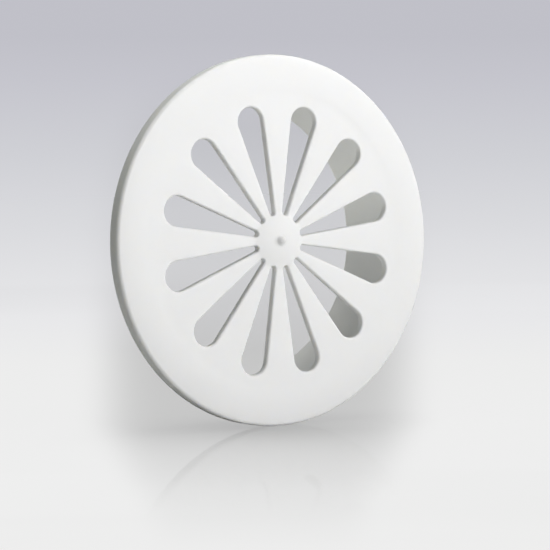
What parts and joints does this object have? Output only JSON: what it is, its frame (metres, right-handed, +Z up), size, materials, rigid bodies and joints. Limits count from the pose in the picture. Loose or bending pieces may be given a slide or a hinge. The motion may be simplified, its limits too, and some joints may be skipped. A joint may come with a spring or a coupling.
{
  "type": "round vent cover",
  "caption": "Round wall vent cover moulded in one piece, with teardrop slots fanning out from a domed hub, a raised rim, and a spigot behind it that pushes into a 100 mm duct.",
  "frame": {"origin": "on the spigot's axis, in the plane of the rim's back edge, where the cover meets the wall", "axes": "-Y out of the wall, the way the slotted face looks; +Y along the spigot into the duct; +Z up"},
  "size_m": [0.125, 0.0301, 0.125],
  "materials": {
    "white_plastic": "satin injection-moulded white plastic"
  },
  "bodies": {
    "root": {"vent_cover": "white_plastic"}
  },
  "joints": []
}
